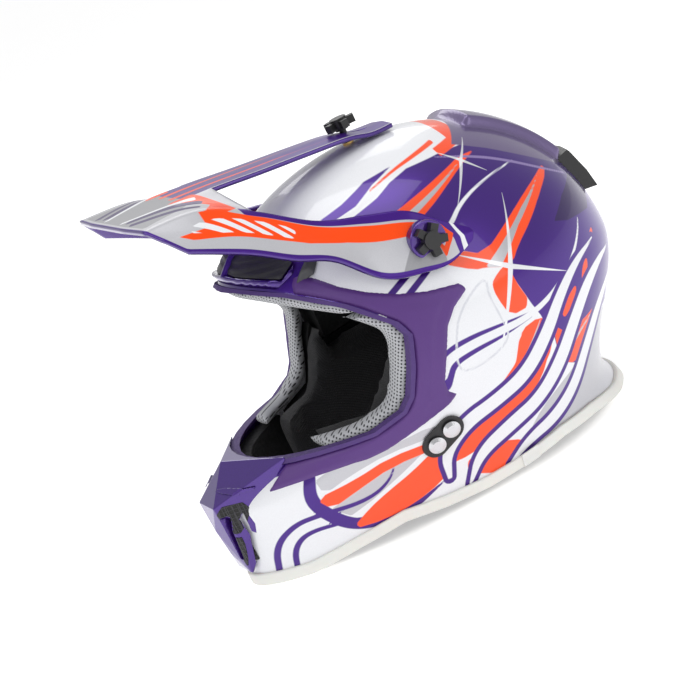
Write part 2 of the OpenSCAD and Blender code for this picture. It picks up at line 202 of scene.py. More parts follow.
def stroke(pts, widths, y, z, times=3):
    """Distance to a tapered brush stroke along points, negative inside it."""
    spread = np.interp(np.linspace(0, 1, len(pts)), np.linspace(0, 1, len(widths)), widths)
    rows = np.column_stack([np.array(pts, dtype=float), spread])
    for _ in range(times):
        cur, nxt = rows[:-1], rows[1:]
        cut = np.stack([0.75 * cur + 0.25 * nxt, 0.25 * cur + 0.75 * nxt], 1).reshape(-1, 3)
        rows = np.vstack([rows[:1], cut, rows[-1:]])
    best = np.full(y.shape, 1e9)
    for (ay, az, aw), (by, bz, bw) in zip(rows[:-1], rows[1:]):
        ey, ez = by - ay, bz - az
        t = np.clip(((y - ay) * ey + (z - az) * ez) / max(ey * ey + ez * ez, 1e-9), 0, 1)
        d = np.sqrt((y - ay - t * ey) ** 2 + (z - az - t * ez) ** 2) - (aw + t * (bw - aw)) / 2
        best = np.minimum(best, d)
    return best


PORT = [(-200, 76), (-123, 80), (-94, 79), (-68, 78), (-46, 84), (-38, 92), (-29, 112), (-22, 131), (-26, 142),
        (-47, 165), (-72, 184), (-90, 193.5), (-200, 200)]
TRIM = [(-200, 58), (-138, 66), (-99, 67), (-71, 64), (-46, 69), (-9, 78), (-18, 87), (-8, 108), (4, 130), (31, 143),
        (-10, 153), (-40, 171), (-56, 190), (-64, 190), (-70, 176), (-200, 150)]
RIM = [(-200, -1), (-132, 0), (-98, 6), (-69, 10), (-40, 6), (-10, 4), (20, 5), (52, 8), (85, 6), (118, 0), (200, -1)]


def rim_z(y):
    pts = np.array(RIM)
    return np.interp(y, pts[:, 0], pts[:, 1])


def port_field(v):
    return sdf(chaikin(PORT, 2), v[:, 1], v[:, 2])


# ---------- materials ----------
class Nodes:
    """A material's node tree with short names for the nodes used here."""

    def __init__(self, name, **values):
        self.mat = bpy.data.materials.new(name)
        self.mat.use_nodes = True
        self.tree = self.mat.node_tree
        self.shader = self.tree.nodes["Principled BSDF"]
        for key, value in values.items():
            self.shader.inputs[key.replace("_", " ")].default_value = value

    def add(self, kind, **values):
        node = self.tree.nodes.new(kind)
        for key, value in values.items():
            if hasattr(node, key):
                setattr(node, key, value)
            else:
                node.inputs[key.replace("_", " ")].default_value = value
        return node

    def link(self, a, b):
        self.tree.links.new(a, b)

    def coords(self, scale=(1, 1, 1), rotation=(0, 0, 0)):
        geo = self.add("ShaderNodeTexCoord")
        mapping = self.add("ShaderNodeMapping")
        mapping.inputs["Scale"].default_value = scale
        mapping.inputs["Rotation"].default_value = rotation
        self.link(geo.outputs["Object"], mapping.inputs["Vector"])
        return mapping.outputs["Vector"]

    def noise(self, scale, detail=2.0, rough=0.5, vector=None):
        node = self.add("ShaderNodeTexNoise", Scale=scale, Detail=detail, Roughness=rough)
        self.link(vector or self.coords(), node.inputs["Vector"])
        return node.outputs["Fac"]

    def ramp(self, value, low, high, a=0.0, b=1.0):
        node = self.add("ShaderNodeMapRange")
        for key, x in (("From Min", low), ("From Max", high), ("To Min", a), ("To Max", b)):
            node.inputs[key].default_value = x
        self.link(value, node.inputs["Value"])
        return node.outputs["Result"]

    def math(self, op, a, b=None):
        node = self.add("ShaderNodeMath", operation=op)
        for slot, x in ((0, a), (1, b)):
            if x is None:
                continue
            if isinstance(x, (int, float)):
                node.inputs[slot].default_value = x
            else:
                self.link(x, node.inputs[slot])
        return node.outputs[0]

    def mix(self, fac, a, b):
        node = self.add("ShaderNodeMix", data_type="RGBA")
        self.link(fac, node.inputs["Factor"])
        for key, x in ((6, a), (7, b)):
            if isinstance(x, (tuple, list)):
                node.inputs[key].default_value = (*x[:3], 1)
            else:
                self.link(x, node.inputs[key])
        return node.outputs[2]

    def bump(self, height, strength, distance):
        node = self.add("ShaderNodeBump", Strength=strength, Distance=distance)
        self.link(height, node.inputs["Height"])
        self.link(node.outputs["Normal"], self.shader.inputs["Normal"])

    def colour(self, value):
        self.link(value, self.shader.inputs["Base Color"])


def plastic(name, colour, rough, grain=900, bump=0.15, vary=0.12, **values):
    m = Nodes(name, Roughness=rough, **values)
    n = m.noise(grain, 3)
    dark = tuple(c * (1 - vary) for c in colour)
    light = tuple(min(1, c * (1 + vary)) for c in colour)
    m.colour(m.mix(m.noise(35, 4), dark, light))
    m.link(m.ramp(n, 0.3, 0.7, rough * 0.85, min(1, rough * 1.2)), m.shader.inputs["Roughness"])
    m.bump(n, bump, 0.0002)
    return m.mat


def ray(m, y, z, start, end, width):
    """Mask of a straight glint in side view, wide at its start and pointed at its end."""
    long = math.dist(start, end)
    dy, dz = (end[0] - start[0]) / long, (end[1] - start[1]) / long
    oy = m.math("SUBTRACT", y, (start[0] + SHIFT_Y) / 1000)
    oz = m.math("SUBTRACT", z, start[1] / 1000)
    forward = m.math("ADD", m.math("MULTIPLY", oy, dy), m.math("MULTIPLY", oz, dz))
    aside = m.math("ABSOLUTE", m.math("SUBTRACT", m.math("MULTIPLY", oy, dz), m.math("MULTIPLY", oz, dy)))
    half = m.ramp(forward, 0, long / 1000, width / 2000, 0.0001)
    inside = m.ramp(m.math("SUBTRACT", aside, half), 0.0002, -0.0002)
    reach = m.math("MULTIPLY", m.math("GREATER_THAN", forward, -0.0004), m.math("LESS_THAN", forward, long / 1000))
    return m.math("MULTIPLY", inside, reach)


def paint(name, base, layers, flake=0.06, coat=0.6, glints=()):
    """Clear-coated paint: each layer is (attribute of signed distance in mm, colour, metallic)."""
    m = Nodes(name, Roughness=0.3, Coat_Weight=coat, Coat_Roughness=0.04, Specular_IOR_Level=0.5 * coat)
    prev = base[0]
    metal_node = None
    for attr, col, met in layers:
        a = m.add("ShaderNodeAttribute", attribute_name=attr)
        mask = m.ramp(a.outputs["Fac"], 0.3, -0.3)
        prev = m.mix(mask, prev, col)
        lerp = m.add("ShaderNodeMapRange")
        m.link(mask, lerp.inputs["Value"])
        if metal_node is None:
            lerp.inputs["To Min"].default_value = base[1]
        else:
            m.link(metal_node, lerp.inputs["To Min"])
        lerp.inputs["To Max"].default_value = met
        metal_node = lerp.outputs["Result"]
    if glints:
        axes = m.add("ShaderNodeSeparateXYZ")
        m.link(m.coords(), axes.inputs[0])
        for start, end, width in glints:
            prev = m.mix(ray(m, axes.outputs[1], axes.outputs[2], start, end, width), prev, WHITE)
    flakes = m.noise(2600, 1, 0.6)
    fine = m.ramp(flakes, 0.3, 0.75, 1 - flake, 1 + flake)
    gain = m.add("ShaderNodeVectorMath", operation="MULTIPLY")
    m.link(prev, gain.inputs[0])
    m.link(fine, gain.inputs[1])
    m.colour(gain.outputs[0])
    m.link(metal_node, m.shader.inputs["Metallic"])
    m.bump(m.noise(180, 2), 0.02, 0.0003)
    return m.mat


WHITE = (0.80, 0.81, 0.84)
SILVER = (0.50, 0.50, 0.53)
PURPLE = (0.055, 0.012, 0.215)
DEEP = (0.028, 0.007, 0.10)
# painted reflection: light lilac standing for studio light reflected in the purple gloss of the crown spine
LILAC_REFLECTION = (0.155, 0.115, 0.25)
ORANGE = (0.95, 0.070, 0.004)
GREY = (0.30, 0.30, 0.32)


# ---------- camera, floor and light ----------
AZ, EL, ROLL, DISTANCE = math.radians(72.4), math.radians(15.7), math.radians(-25.8), 1.546
back = Vector((math.sin(AZ) * math.cos(EL), -math.cos(AZ) * math.cos(EL), math.sin(EL)))
level = Vector((math.cos(AZ), math.sin(AZ), 0))
upward = back.cross(level)
right = level * math.cos(ROLL) + upward * math.sin(ROLL)
above = -level * math.sin(ROLL) + upward * math.cos(ROLL)
camera = bpy.data.objects.new("camera", bpy.data.cameras.new("camera"))
bpy.context.scene.collection.objects.link(camera)
camera.data.lens = 114.6
camera.data.sensor_width = 36
camera.data.clip_start, camera.data.clip_end = 0.05, 100
turn = Matrix((right, above, back)).transposed().to_4x4()
camera.matrix_world = Matrix.Translation(point(-3.8, -27.5, 108.5) + back * DISTANCE) @ turn
bpy.context.scene.camera = camera


def area(name, place, aim, size, power, colour=(1, 1, 1)):
    light = bpy.data.lights.new(name, "AREA")
    light.shape = "RECTANGLE"
    light.size, light.size_y = size
    light.energy = power
    light.color = colour
    obj = bpy.data.objects.new(name, light)
    bpy.context.scene.collection.objects.link(obj)
    obj.location = place
    obj.rotation_mode = "QUATERNION"
    obj.rotation_quaternion = (Vector(aim) - Vector(place)).to_track_quat("-Z", "Y")


centre = Vector((0, -0.01, 0.13))
area("key", (0.7, -1.5, 1.6), centre, (1.3, 0.9), 9)
area("side", (1.9, 0.9, 0.9), centre, (0.9, 1.4), 6)
area("top", (-0.1, 0.1, 1.9), centre, (1.6, 0.7), 9)
area("rim", (-1.4, 0.6, 1.2), centre, (1.0, 1.0), 5)
world = bpy.data.worlds.new("studio")
world.use_nodes = True
world.node_tree.nodes["Background"].inputs["Color"].default_value = (1.0, 1.0, 1.0, 1)
world.node_tree.nodes["Background"].inputs["Strength"].default_value = 0.62
bpy.context.scene.world = world
bpy.context.scene.view_settings.view_transform = "Standard"

floor_mesh = bpy.data.meshes.new("floor")
floor_ring = [(9 * math.cos(a), 9 * math.sin(a), -0.0005) for a in np.linspace(0, 2 * math.pi, 64, endpoint=False)]
floor_mesh.from_pydata(floor_ring, [], [list(range(64))])
floor = bpy.data.objects.new("floor", floor_mesh)
bpy.context.scene.collection.objects.link(floor)
ground = Nodes("floor_white", Roughness=0.9, Emission_Color=(1, 1, 1, 1), Emission_Strength=0.38)
ground.colour(ground.mix(ground.noise(3, 2), (0.96, 0.96, 0.965), (0.98, 0.98, 0.98)))
set_material(floor, ground.mat)

# ---------- paint on the shell ----------
def outline_fields(shapes, y, z):
    """The nearest of several closed outlines."""
    return np.minimum.reduce([sdf(chaikin(s, r) if r else s, y, z) for s, r in shapes])


PURPLE_MAIN = [(-12, 198), (-25, 205), (10, 211), (24, 215), (40, 217), (60, 215), (72, 214), (81, 212), (94, 210),
               (110, 214), (140, 220), (200, 200), (200, 66), (150, 66), (125, 68), (100, 58), (80, 50), (66, 60),
               (68, 87), (64, 91), (63, 98), (60, 108), (56, 130), (59, 137), (46, 152), (32, 163), (20, 160),
               (14, 168), (4, 183)]
SPIKE_1 = [(10, 199.5), (70, 207), (78, 207), (91, 204.7), (79, 204), (60, 200), (30, 191), (10, 186.5),
           (-30, 178), (-30, 192)]
SPIKE_1_CORE = [(-20, 187), (10, 194.5), (40, 199.5), (76, 205.5), (40, 197), (10, 190), (-20, 184)]
SPIKE_2 = [(20, 160), (32, 163), (46, 152.5), (79, 163.5), (100, 169), (121, 172), (132, 172.5), (130, 168.5),
           (110, 162), (90, 153), (71, 145), (62, 138.5), (52, 140), (42, 145), (35, 147), (20, 158.5)]
SPIKE_2_CORE = [(42, 145), (60, 151.5), (90, 163), (120, 171), (100, 163.5), (80, 155.5), (62, 145.5), (52, 140)]
BELOW_STAR = [(40, 133), (43, 136), (54, 140), (59, 137), (56, 130), (60, 108), (42, 109), (39, 125)]
ORANGE_LOW = [(44, 97), (63, 97.5), (64, 91), (69, 87), (63, 73), (50, 63), (44, 67), (30, 72), (10, 66), (24, 74),
              (39, 82), (44, 88)]
ORANGE_LOW_2 = [(66, 60), (80, 50), (100, 58), (125, 68), (118, 76), (96, 74), (78, 76), (69, 87)]
ORANGE_PATCH = [(-11, 35), (4, 33), (11, 24), (6, 13), (-4, 15), (-11, 24)]
SILVER_LOW = [(20, -4), (28, 20), (28, 28), (41, 38), (60, 45), (80, 50), (100, 58), (125, 68), (150, 66),
              (200, 66), (200, -4)]
GREY_BORDER = [(-6, 92), (0, 112), (12, 130), (40, 142), (34, 128), (36, 110), (36, 96), (14, 90)]
CHIN_ORANGE = [(-116, 52), (-109, 41), (-90, 47), (-66, 53), (-34, 51), (-34, 57), (-66, 60), (-90, 55)]
CHIN_SWOOSH = [(-103, 21), (-88, 31), (-74, 37), (-56, 43), (-40, 50), (-24, 50), (-24, 36), (-40, 26),
               (-60, 20), (-82, 18)]
CHIN_UNDER = [(-110, 41), (-100, 31), (-84, 36), (-62, 45), (-46, 52), (-66, 53), (-90, 47)]
ORANGE_SWEEP = [(-37, 47), (-20, 58), (6, 66), (30, 74), (44, 97), (63, 98), (66, 84),
                (56, 66), (36, 50), (8, 40), (-16, 34), (-36, 36)]
ORANGE_HEEL = [(-24, 30), (-6, 34), (14, 30), (30, 16), (10, 11), (-12, 14)]
CHIN_SILVER = [(-110, 53), (-92, 59), (-66, 63), (-36, 60), (-30, 68), (-70, 67), (-112, 68)]

# one tapered stroke: (points, widths)
GLINTS = [((75.5, 205), (50, 185), 2.2), ((75.5, 205), (66, 215), 2.0), ((75.5, 205), (86, 192), 2.0),
          ((75.5, 205), (92, 213), 1.8),
          ((58.5, 137), (84, 177), 3.6), ((58.5, 137), (28, 162), 3.6), ((58.5, 137), (22, 86), 3.8),
          ((58.5, 137), (97, 112), 3.4)]
ARC_1_EDGE = [([(-38, 146), (-10, 158.5), (12, 167), (30, 175)], [13, 12, 11, 5])]
ARC_1 = [([(-38, 146), (-27, 151), (-10, 158.5), (10, 166), (40, 179), (50, 184.5), (65, 188), (80, 189), (93, 188.7),
           (110, 187)], [4.6, 4.6, 4.2, 3.6, 2.8, 2.4, 1.8, 1.4, 1.2, 0.8])]
ARC_2 = [([(-16, 96), (-9, 104.7), (10, 106), (30, 104.3), (50, 102.3), (70, 103.7), (90, 109.3), (110, 118),
           (123, 126.5), (130, 133)], [6.5, 6.5, 6, 5, 4, 3, 2.4, 1.6, 1])]
ARC_2_EDGE = [([(-18, 92), (-9, 104.7), (10, 106), (30, 104.3), (56, 102.5)], [14, 14, 12.5, 10, 4])]
CROWN_LINE = [([(10, 216), (31, 219.5), (50, 220.5), (70, 221)], [0.8, 1.4, 2, 2.4])]
CHIN_LINES = [([(-151, 4), (-147, 27), (-133, 39), (-117, 40), (-87, 37), (-70, 44), (-62, 58)],
               [3.6, 3.8, 3.6, 3.4, 3, 2, 0.6]),
              ([(-141, 4), (-138, 22), (-127, 31), (-103, 28), (-84, 24)], [3.4, 3.6, 3.2, 2.4, 1]),
              ([(-112, 70), (-119, 54), (-113, 38), (-101, 24), (-84, 18), (-63, 17), (-37, 26)],
               [6, 8, 8.5, 8.5, 7.5, 5, 1])]
# abstract ribbon over the side: broad white strokes with a purple edge
RIBBONS = [([(-34, 26), (-32, 44), (-14, 58), (12, 62), (38, 68), (62, 84), (84, 102), (108, 113), (134, 116)],
            [3, 8, 10, 9, 10, 10, 8, 5, 1]),
           ([(-22, 14), (-10, 32), (16, 40), (42, 46), (66, 60), (88, 79), (110, 94), (132, 101), (150, 101)],
            [2, 8, 10, 9, 11, 10, 9, 5, 1]),
           ([(8, 12), (26, 22), (50, 26), (74, 37), (96, 56), (118, 73), (140, 82), (156, 82)],
            [2, 7, 9, 9, 9, 8, 5, 1])]
STREAKS = [([(26, 70), (44, 80), (62, 96)], [0.6, 2.2, 0.6]), ([(46, 66), (56, 76), (66, 92)], [0.5, 2, 0.5]),
           ([(74, 60), (88, 68), (110, 74)], [0.5, 2, 0.5])]
ORANGE_DASH = [([(82, 88), (90, 93), (98, 98)], [4, 7, 3]), ([(109, 100), (114, 104), (118, 108)], [3, 6, 2.5]),
               ([(132, 116), (135, 118), (138, 120)], [2, 4, 2])]


# painted reflection: the lilac area over the crown spine stands for studio light reflected in the purple gloss
SPINE_REFLECTION_AREA = [(80, 214), (88, 209), (100, 201), (130, 178), (150, 163), (200, 140), (200, 240), (104, 240),
               (98, 222)]
# painted highlight: a lighter violet line along the lower edge of the raised spine
CREASE_HIGHLIGHT = [([(62, 214), (81, 205), (100, 193.5), (130, 170), (148, 157)], [0.7, 1.6, 1.8, 1.6, 1.2])]
# painted shade: a darker purple facet on the rear side of the shell, darkened as if turned away from the light
REAR_FACET_SHADE = [(108, 143), (128, 151), (152, 155), (162, 138), (147, 131), (120, 137)]
PORT_BAND = 6        # purple paint round the port, under the surround
RIBBON_EDGE = 6.5    # how much wider the ribbons' purple edge is than the ribbons


def strokes(items, y, z, widen=0.0):
    return np.minimum.reduce([stroke(p, np.array(w) + widen, y, z) for p, w in items])


def shell_paint(v):
    """Every paint layer of the shell as a distance field over its points."""
    y, z = v[:, 1], v[:, 2]
    fields = {}
    fields["silver_low"] = outline_fields([(SILVER_LOW, 1), (CHIN_SILVER, 1), (CHIN_UNDER, 0)], y, z)
    brow = sdf([(-200, 182), (-66, 182), (-56, 190), (-44, 200), (-50, 224), (-200, 224)], y, z)
    fields["purple"] = np.minimum.reduce([
        sdf(PURPLE_MAIN, y, z), brow, port_field(v) - PORT_BAND, strokes(ARC_1_EDGE, y, z),
        strokes(ARC_2_EDGE, y, z), strokes(CHIN_LINES, y, z)])
    sliver = sdf([(-27, 209), (-4, 212), (14, 218), (34, 222), (12, 221.5), (-10, 216), (-27, 213)], y, z)
    fields["purple"] = np.minimum(fields["purple"], sliver)
    # the band between purple and white crown turns up and crosses the head behind y = 85
    orange_edge = np.maximum(np.maximum(212.5 - z, z - 218), np.maximum(66 - y, y - 98))
    orange_rise = np.maximum(np.abs(y - 88 - 0.12 * (z - 214)) - 6.5, 215 - z)
    fields["orange"] = np.minimum.reduce([
        outline_fields([(SPIKE_1, 1), (SPIKE_2, 1), (BELOW_STAR, 1), (ORANGE_LOW, 1), (ORANGE_LOW_2, 1),
                        (ORANGE_PATCH, 2), (CHIN_ORANGE, 1), (CHIN_SWOOSH, 1), (ORANGE_SWEEP, 1),
                        (ORANGE_HEEL, 1)], y, z),
        strokes(CROWN_LINE, y, z), strokes(ORANGE_DASH, y, z), orange_edge, orange_rise])
    fields["silver"] = np.minimum.reduce([
        outline_fields([(SPIKE_1_CORE, 0), (SPIKE_2_CORE, 0)], y, z), strokes(STREAKS, y, z)])
    behind = np.maximum(np.abs(y - 97.5 - 0.12 * (z - 214)) - 3, 214 - z)
    fields["white"] = np.minimum.reduce([strokes(ARC_1, y, z), strokes(ARC_2, y, z), behind])
    fields["edge"] = strokes(RIBBONS, y, z, RIBBON_EDGE)
    fields["ribbon"] = strokes(RIBBONS, y, z)
    # painted reflection in lilac over the crown spine
    fields["spine_reflection"] = sdf(SPINE_REFLECTION_AREA, y, z)
    # painted highlight along the spine's lower edge
    fields["crease_highlight"] = strokes(CREASE_HIGHLIGHT, y, z)
    fields["grey"] = np.abs(outline_fields([(GREY_BORDER, 2)], y, z)) - 0.8
    # painted shade on a rear facet
    fields["facet_shade"] = sdf(REAR_FACET_SHADE, y, z)
    return fields


def store(obj, fields):
    for name, values in fields.items():
        attr = obj.data.attributes.new(name, "FLOAT", "POINT")
        attr.data.foreach_set("value", np.asarray(values, dtype=np.float32))


def lacquer(name, colour):
    """One colour of metallic paint under a clear coat."""
    m = Nodes(name, Roughness=0.28, Metallic=0.65, Coat_Weight=0.9, Coat_Roughness=0.04)
    flakes = m.ramp(m.noise(2600, 1, 0.6), 0.3, 0.75)
    m.colour(m.mix(flakes, tuple(c * 0.85 for c in colour), tuple(c * 1.2 for c in colour)))
    m.bump(m.noise(180, 2), 0.02, 0.0003)
    return m.mat


gloss_purple = lacquer("gloss_purple", PURPLE)
shell_mat = paint("shell_graphics", (WHITE, 0.0), [
    # the facet layer is painted shade in deep purple
    ("silver_low", SILVER, 0.7), ("purple", PURPLE, 0.65), ("facet_shade", DEEP, 0.6), ("orange", ORANGE, 0.0),
    ("silver", SILVER, 0.6), ("grey", (0.64, 0.65, 0.70), 0.0), ("white", WHITE, 0.0), ("edge", PURPLE, 0.6),
    # the spine layer is a painted reflection in lilac; the crease layer is a painted highlight line along its lower
    # edge
    ("ribbon", WHITE, 0.0), ("spine_reflection", LILAC_REFLECTION, 0.5), ("crease_highlight", (0.30, 0.22, 0.50), 0.5)], glints=GLINTS)

FINE = (520, 68, 128)    # steps round the shell, up to its widest level and from there to the crown
SPINE_LINE = [(104, 185), (106, 240), (150, 220), (200, 171), (140, 158)]
v, t = surface(0, *FINE)
n = vertex_normals(v, t)
side_shape = sdf(SPINE_LINE, v[:, 1], v[:, 2])
lift = 7 * smooth(0.5 - side_shape / 5) * smooth((32 - np.abs(v[:, 0])) / 5 + 0.5)
v = v + n * lift[:, None]
v, t = clip(v, t, port_field(v))
v, t = clip(v, t, v[:, 2] - np.maximum(rim_z(v[:, 1]), 0) - 2.5)
iv, it = surface(-3.5, 220, 30, 56)
iv, it = clip(iv, it, port_field(iv))
iv, it = clip(iv, it, iv[:, 2] - np.maximum(rim_z(iv[:, 1]), 0) - 2.5)
both = np.vstack([v, iv])
shell = mesh_object("shell_painted", both, np.vstack([t, it[:, ::-1] + len(v)]), "helmet")
store(shell, shell_paint(both))
set_material(shell, shell_mat)
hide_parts("outer_shell")


# ---------- patches that follow the shell ----------
def patch(name, field_of, height, mat, replaces):
    """A raised skin over part of the shell: height is a function of the distance in from its edge and the point."""
    pv, pt = surface(0, *FINE)
    pn = vertex_normals(pv, pt)
    joined = np.hstack([pv, pn])
    jv, jt = clip(joined, pt, field_of(pv))
    pv, pn = jv[:, :3], jv[:, 3:]
    pn /= np.linalg.norm(pn, axis=1, keepdims=True)
    field = field_of(pv)
    obj = mesh_object(name, pv + pn * height(field, pv)[:, None], jt, "helmet")
    set_material(obj, mat)
    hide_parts(*replaces)


def trim_field(p):
    f = np.minimum(port_field(p) - 0.2, -sdf(chaikin(TRIM, 1), p[:, 1], p[:, 2]))
    gap = sdf([(-57, 92), (-40, 62), (-32, 50), (32, 50), (40, 62), (57, 92)], p[:, 0], p[:, 2])
    return np.where(p[:, 1] < -60, np.minimum(f, gap), f)


surround = plastic("surround_matte_purple", (0.085, 0.025, 0.19), 0.5, 1500, 0.25, 0.06, Coat_Weight=0.1,
                   Coat_Roughness=0.4)
patch("eyeport_surround", trim_field,
      lambda f, p: -0.3 + 1.9 * smooth(f / 2.2) + 0.35 * smooth((f - 8) / 3), surround,
      replaces=("eyeport_trim",))

BROW = [(-200, 206), (-91, 195.5), (-73, 186.5), (-60, 192), (-46, 212), (-60, 221), (-200, 221)]
LOUVRE = [(-82, 197), (-67, 190.5), (-56, 197), (-54, 209), (-64, 213), (-82, 206)]
WINGLET = [(-71, 186), (-59, 191), (-43, 211), (-36, 205), (-52, 189)]
louvre_black = plastic("louvre_black", (0.015, 0.015, 0.017), 0.42, 1200, 0.2, 0.25)
winglet_grey = plastic("winglet_grey", (0.05, 0.05, 0.056), 0.45, 1200, 0.2, 0.15)


def brow_field(p):
    opening = np.maximum(sdf(LOUVRE, p[:, 1], p[:, 2]), 4 - np.abs(p[:, 0]))
    return np.minimum.reduce([-sdf(BROW, p[:, 1], p[:, 2]), opening, 66 - np.abs(p[:, 0])])


patch("brow_cover", brow_field, lambda f, p: 6 * smooth(f / 3 + 0.15), gloss_purple,
      replaces=("brow_vent_cover",))
patch("brow_louvres", lambda p: np.minimum(0.4 - sdf(LOUVRE, p[:, 1], p[:, 2]), 62 - np.abs(p[:, 0])),
      lambda f, p: 3.2 + 1.4 * np.abs((p[:, 2] * 0.25) % 1 - 0.5) * smooth(f / 2), louvre_black,
      replaces=("brow_vent_louvres",))
patch("brow_fangs", lambda p: np.minimum(2 - sdf(WINGLET, p[:, 1], p[:, 2]), 12 - np.abs(np.abs(p[:, 0]) - 77)),
      lambda f, p: 1.2 + 5.6 * smooth(f / 2.5), winglet_grey, replaces=("brow_vent_winglets",))

# ---------- lower rim ----------
rim_mat = plastic("rim_rubber", (0.78, 0.77, 0.73), 0.55, 700, 0.25, 0.04, Subsurface_Weight=0.08)
u = np.linspace(0, 2 * np.pi, 520, endpoint=False)
base = np.zeros_like(u)
for _ in range(12):
    base = np.maximum(rim_z(skin(u, base, 0)[:, 1]), 0)
profile = [(-5.2, 0.0), (1.4, 0.0), (2.1, 0.3), (2.4, 1.0), (2.4, 7.6), (2.1, 8.5), (1.4, 9.0), (-0.2, 9.0),
           (-5.2, 9.0), (-5.9, 8.0), (-5.9, 0.8)]
rim_v = np.vstack([skin(u, base + dz, off) for off, dz in profile])
rim_f = []
for j in range(len(profile)):
    k = (j + 1) % len(profile)
    for i in range(len(u)):
        m = (i + 1) % len(u)
        rim_f.append((j * len(u) + i, j * len(u) + m, k * len(u) + m, k * len(u) + i))
rim = mesh_object("lower_rim", rim_v, rim_f, "helmet")
set_material(rim, rim_mat)
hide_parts("rim_trim")

# ---------- the peak ----------
PEAK = np.array([
    [[0, -144, 268], [36, -144, 268], [74, -141, 267], [84, -134, 258], [94, -125, 246]],
    [[0, -108, 265.5], [34, -108, 265.5], [72, -101, 261.5], [86, -96, 245], [99, -90, 226]],
    [[0, -76, 262], [31, -76, 262], [73, -70, 244], [88, -68, 228], [103, -66, 209]],
    [[0, -38, 257], [29, -38, 256], [83, -38, 220.5], [95, -42, 209], [108, -44, 197]],
    [[0, 0, 252], [27, 0, 250.5], [93, -10, 210], [104, -14, 192], [114, -22, 172]],
    [[0, 28, 247.7], [25, 28, 246], [102, 14, 201], [112, 14, 181], [118, 4, 163]],
    [[0, 46, 241.6], [22, 46, 240.5], [109, 32, 184.5], [115, 30, 173], [119, 22, 160.5]],
    [[0, 64, 239.5], [18, 63, 238.5], [113, 45, 173], [115.5, 45.5, 170], [117, 42, 166]]], dtype=float)


def along(rows, t):
    """The peak's rows joined by a smooth curve, at t from 0 to 7."""
    i = np.clip(np.floor(t).astype(int), 0, len(rows) - 2)
    f = (t - i)[:, None, None]
    p = [rows[np.clip(i + k, 0, len(rows) - 1)] for k in (-1, 0, 1, 2)]
    return 0.5 * (2 * p[1] + (p[2] - p[0]) * f + (2 * p[0] - 5 * p[1] + 4 * p[2] - p[3]) * f ** 2
                  + (3 * p[1] - p[0] - 3 * p[2] + p[3]) * f ** 3)


def peak_grid():
    """Points and cells of the peak's upper face, with their place (t along, s across)."""
    t = np.linspace(0, 7, 99)
    curves = along(PEAK, t)
    s = np.concatenate([np.linspace(k, k + 1, 15)[:-1] for k in range(4)] + [[4.0]])
    j = np.minimum(s.astype(int), 3)
    f = (s - j)[None, :, None]
    half = curves[:, j] * (1 - f) + curves[:, j + 1] * f
    edges = half[:, [14, 28]].copy()    # the sides of the two openings keep their place
    for _ in range(2):
        half[:, 1:-1] = 0.5 * half[:, 1:-1] + 0.25 * (half[:, 2:] + half[:, :-2])
        half[:, 0, 1:] = half[:, 1, 1:]
        half[t >= 2, 14], half[t >= 2, 28] = edges[t >= 2, 0], edges[t >= 2, 1]
    left = half[:, 1:][:, ::-1].copy()
    left[:, :, 0] *= -1
    full = np.concatenate([left, half], 1)
    across = np.concatenate([-s[1:][::-1], s])
    rows_n, cols = len(t), len(across)
    cells = []
    for a in range(rows_n - 1):
        for b in range(cols - 1):
            mid = abs(across[b] + across[b + 1]) / 2
            if t[a] >= 2 and 1 <= mid <= 2:
                continue
            q = a * cols + b
            cells += [(q, q + 1, q + 1 + cols), (q, q + 1 + cols, q + cols)]
    tt, ss = np.meshgrid(t, across, indexing="ij")
    return full.reshape(-1, 3), np.array(cells), tt.ravel(), ss.ravel()


pv, pt, tt, ss = peak_grid()
slot_line = chaikin([(-3.1, 27), (3.1, 27), (3.1, 52), (-3.1, 52)], 2)
joined, pt = clip(np.column_stack([pv, tt, ss]), pt, sdf(slot_line, pv[:, 0], pv[:, 1]))
pv, tt, ss = joined[:, :3], joined[:, 3], np.abs(joined[:, 4])
if vertex_normals(pv, pt)[:, 2].mean() < 0:
    pt = pt[:, ::-1]
peak = mesh_object("peak_painted", pv, pt, "peak")


